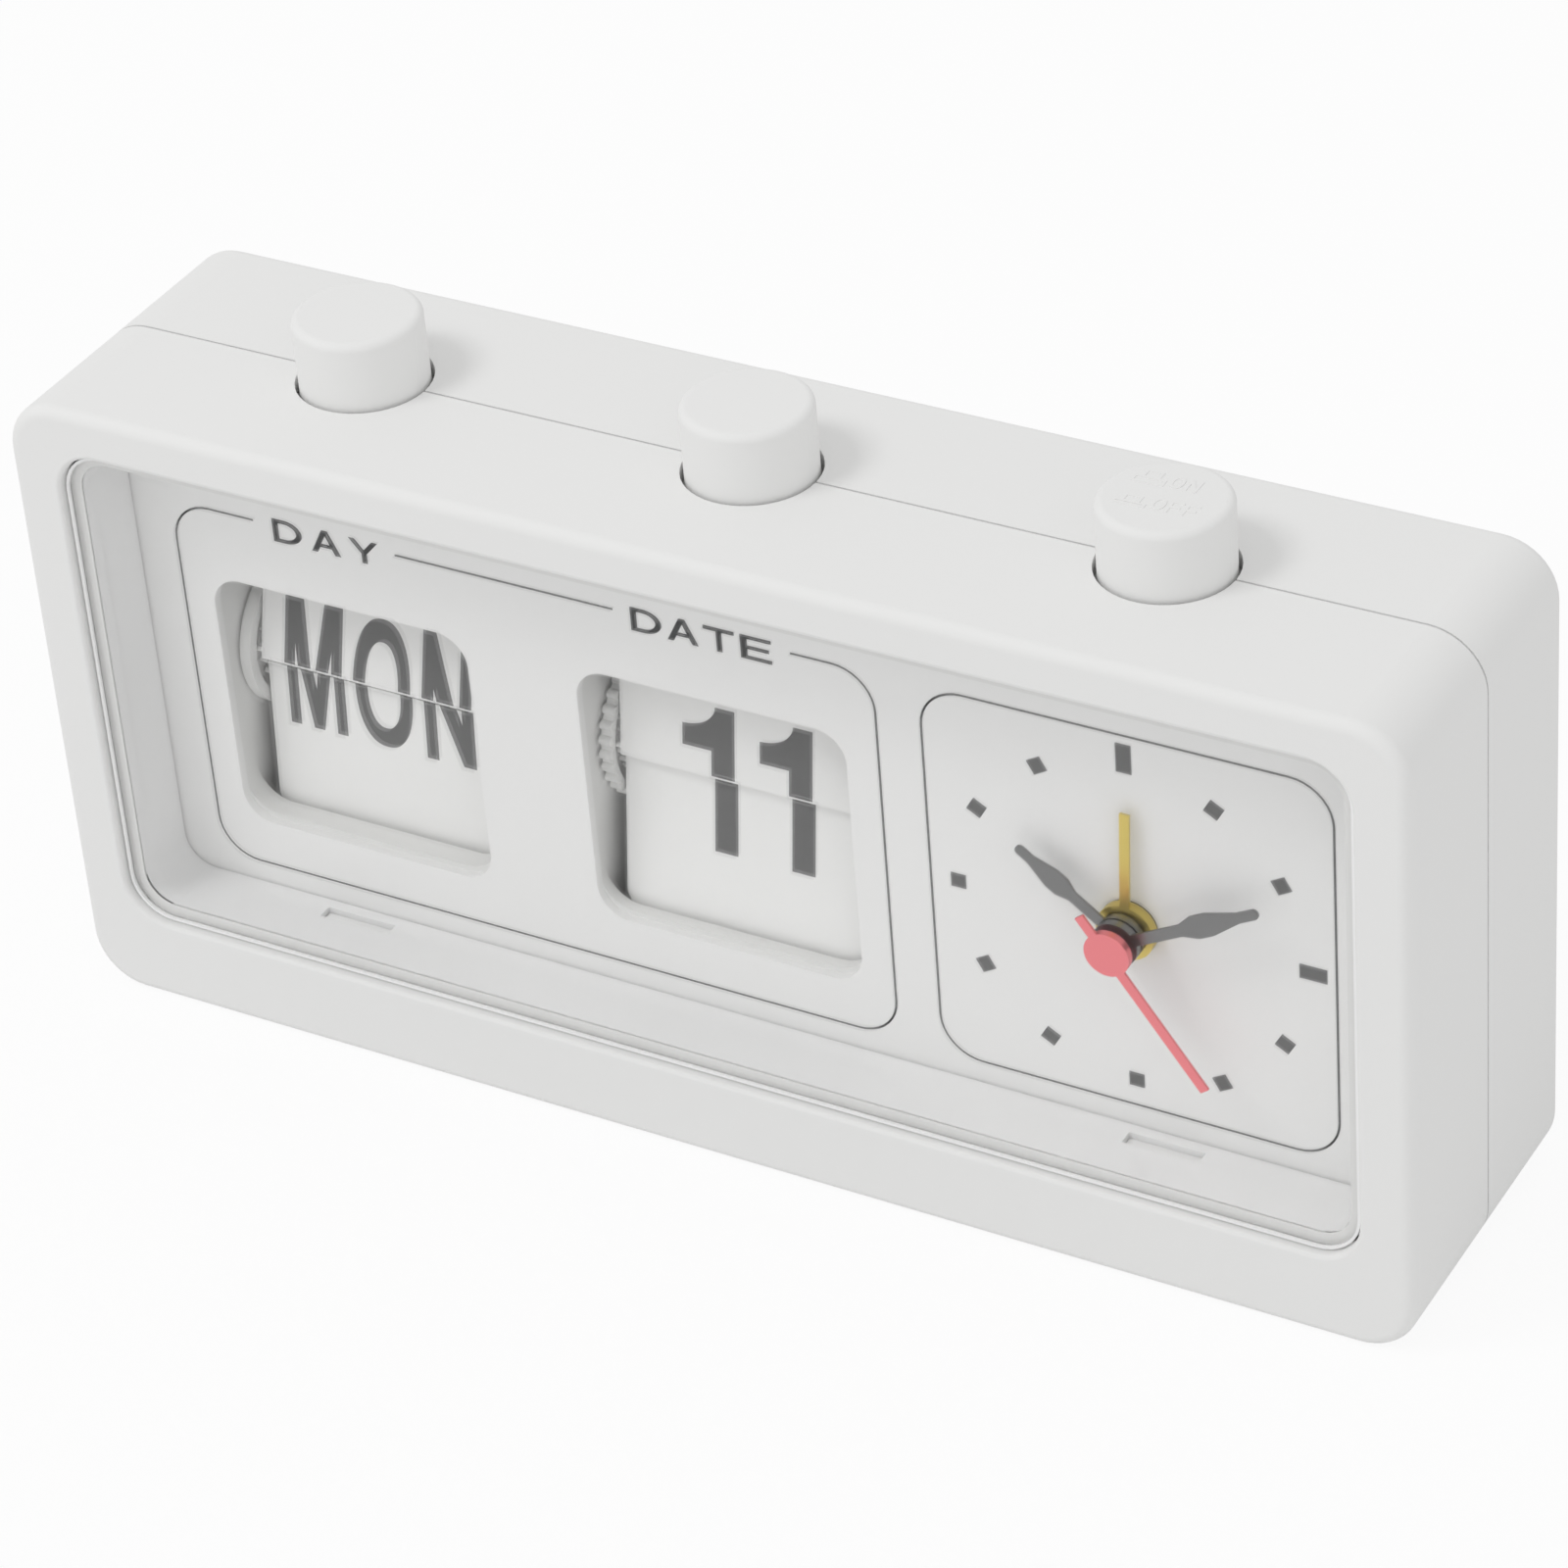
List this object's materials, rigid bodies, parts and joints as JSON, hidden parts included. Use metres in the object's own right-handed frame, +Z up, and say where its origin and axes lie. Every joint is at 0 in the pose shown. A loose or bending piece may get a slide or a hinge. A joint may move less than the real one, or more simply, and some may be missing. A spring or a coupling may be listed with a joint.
{
  "type": "flip calendar desk alarm clock",
  "caption": "White desk clock with a flip day and date calendar and an analogue alarm dial behind one clear front, and push buttons on top.",
  "frame": {"origin": "under the middle of the case, on the surface it stands on", "axes": "+X to the viewer's right along the length, +Y to the back, +Z up; the front faces -Y"},
  "size_m": [0.185, 0.0426, 0.096],
  "materials": {
    "case_white": "smooth satin",
    "dial_white": "matt",
    "leaf_white": "satin sheet",
    "clear": "clear polished",
    "inner_white": "matt moulded",
    "inner_black": "matt moulded",
    "steel": "bright",
    "brass": "satin",
    "copper": "enamelled wire",
    "board": "printed board",
    "hand_grey": "painted",
    "hand_red": "painted",
    "hand_yellow": "painted",
    "cell_jacket": "gloss sleeve"
  },
  "bodies": {
    "case": {"alarm_switch": "inner_black", "buzzer": "inner_black", "case_screws": "steel", "cell": "cell_jacket", "circuit_board": "board", "coil": "copper", "date_detent_spring": "steel", "date_frame": "inner_white", "date_leaf_pack": "leaf_white", "day_detent_spring": "steel", "day_frame": "inner_white", "day_leaf_pack": "leaf_white", "dial_plate": "dial_white", "dial_screws": "steel", "front_shell": "case_white", "lens": "clear", "movement_case": "inner_black", "movement_cover": "inner_black", "plate_contact": "steel", "rear_shell": "case_white", "spring_contact": "steel", "stator": "steel", "unit_screws": "steel"},
    "day_press": {"day_button": "case_white", "day_push_rod": "inner_white", "day_pawl": "steel", "day_return_spring": "steel"},
    "day_drum": {"day_drum_axle": "steel", "day_drum_disc": "inner_white", "day_star_wheel": "inner_white"},
    "day_leaf": {"day_flip_leaf": "leaf_white"},
    "date_press": {"date_button": "case_white", "date_push_rod": "inner_white", "date_pawl": "steel", "date_return_spring": "steel"},
    "date_drum": {"date_drum_axle": "steel", "date_drum_disc": "inner_white", "date_star_wheel": "inner_white"},
    "date_leaf": {"date_flip_leaf": "leaf_white"},
    "alarm_press": {"alarm_button": "case_white", "alarm_push_rod": "inner_white", "alarm_return_spring": "steel"},
    "second": {"second_wheel": "inner_white", "second_hand": "hand_red"},
    "minute": {"centre_wheel": "brass", "minute_hand": "hand_grey"},
    "hour": {"hour_wheel": "brass", "hour_hand": "hand_grey"},
    "third": {"third_wheel": "inner_white"},
    "motion": {"motion_wheel": "inner_white", "time_knob": "inner_black"},
    "idler": {"idler_wheel": "inner_white"},
    "rotor": {"rotor": "steel"},
    "alarm_set": {"alarm_pinion": "inner_white", "alarm_knob": "inner_black"},
    "alarm_show": {"alarm_wheel": "brass", "alarm_hand": "hand_yellow"},
    "door": {"battery_door": "case_white"}
  },
  "joints": [
    {"name": "day_press", "type": "slide", "parent": "case", "child": "day_press", "axis": [0, 0, -1], "range_m": [0, 0.00294], "stiffness_N_per_m": 250, "springref_m": -0.002, "deforming": ["day_return_spring"]},
    {"name": "day_index", "type": "hinge", "parent": "case", "child": "day_drum", "pos_m": [-0.05525, 0.004, 0.0444], "axis": [1, 0, 0], "range_deg": [0, 17.15]},
    {"name": "day_flip", "type": "hinge", "parent": "case", "child": "day_leaf", "pos_m": [-0.05525, -0.00411, 0.04562], "axis": [1, 0, 0], "range_deg": [0, 24.01]},
    {"name": "date_press", "type": "slide", "parent": "case", "child": "date_press", "axis": [0, 0, -1], "range_m": [0, 0.00199], "stiffness_N_per_m": 250, "springref_m": -0.002, "deforming": ["date_return_spring"]},
    {"name": "date_index", "type": "hinge", "parent": "case", "child": "date_drum", "pos_m": [-0.00295, 0.004, 0.0444], "axis": [1, 0, 0], "range_deg": [0, 11.62]},
    {"name": "date_flip", "type": "hinge", "parent": "case", "child": "date_leaf", "pos_m": [-0.00295, -0.00416, 0.04523], "axis": [1, 0, 0], "range_deg": [0, 18.01]},
    {"name": "alarm_press", "type": "slide", "parent": "case", "child": "alarm_press", "axis": [0, 0, -1], "range_m": [0, 0.003], "stiffness_N_per_m": 250, "springref_m": -0.002, "deforming": ["alarm_return_spring"]},
    {"name": "second_turn", "type": "hinge", "parent": "case", "child": "second", "pos_m": [0.052, 0, 0.0427], "axis": [0, 1, 0], "continuous": true},
    {"name": "minute_turn", "type": "hinge", "parent": "case", "child": "minute", "pos_m": [0.052, 0, 0.0427], "axis": [0, 1, 0], "continuous": true},
    {"name": "hour_turn", "type": "hinge", "parent": "case", "child": "hour", "pos_m": [0.052, 0, 0.0427], "axis": [0, 1, 0], "continuous": true},
    {"name": "third_turn", "type": "hinge", "parent": "case", "child": "third", "pos_m": [0.052, 0, 0.0373], "axis": [0, 1, 0], "continuous": true},
    {"name": "motion_turn", "type": "hinge", "parent": "case", "child": "motion", "pos_m": [0.0463, 0, 0.0427], "axis": [0, 1, 0], "continuous": true},
    {"name": "idler_turn", "type": "hinge", "parent": "case", "child": "idler", "pos_m": [0.04878, 0, 0.04653], "axis": [0, 1, 0], "continuous": true},
    {"name": "rotor_turn", "type": "hinge", "parent": "case", "child": "rotor", "pos_m": [0.04807, 0, 0.05057], "axis": [0, 1, 0], "continuous": true},
    {"name": "alarm_set", "type": "hinge", "parent": "case", "child": "alarm_set", "pos_m": [0.0592, 0, 0.0427], "axis": [0, 1, 0], "continuous": true},
    {"name": "alarm_show", "type": "hinge", "parent": "case", "child": "alarm_show", "pos_m": [0.052, 0, 0.0427], "axis": [0, 1, 0], "continuous": true},
    {"name": "door_open", "type": "hinge", "parent": "case", "child": "door", "pos_m": [0.0814, 0.02025, 0.0163], "axis": [-1, 0, 0], "range_deg": [0, 90]}
  ],
  "couplings": [
    {"joint": "day_index", "follows": "day_press", "rad_per_m": 101.9},
    {"joint": "day_flip", "follows": "day_press", "rad_per_m": 142.66},
    {"joint": "date_index", "follows": "date_press", "rad_per_m": 101.7},
    {"joint": "date_flip", "follows": "date_press", "rad_per_m": 157.63},
    {"joint": "minute_turn", "follows": "second_turn", "ratio": 0.016667},
    {"joint": "hour_turn", "follows": "second_turn", "ratio": 0.0013889},
    {"joint": "third_turn", "follows": "second_turn", "ratio": -0.13333},
    {"joint": "motion_turn", "follows": "second_turn", "ratio": -0.0055556},
    {"joint": "idler_turn", "follows": "second_turn", "ratio": -5},
    {"joint": "rotor_turn", "follows": "second_turn", "ratio": 30},
    {"joint": "alarm_show", "follows": "alarm_set", "ratio": -0.29091}
  ]
}
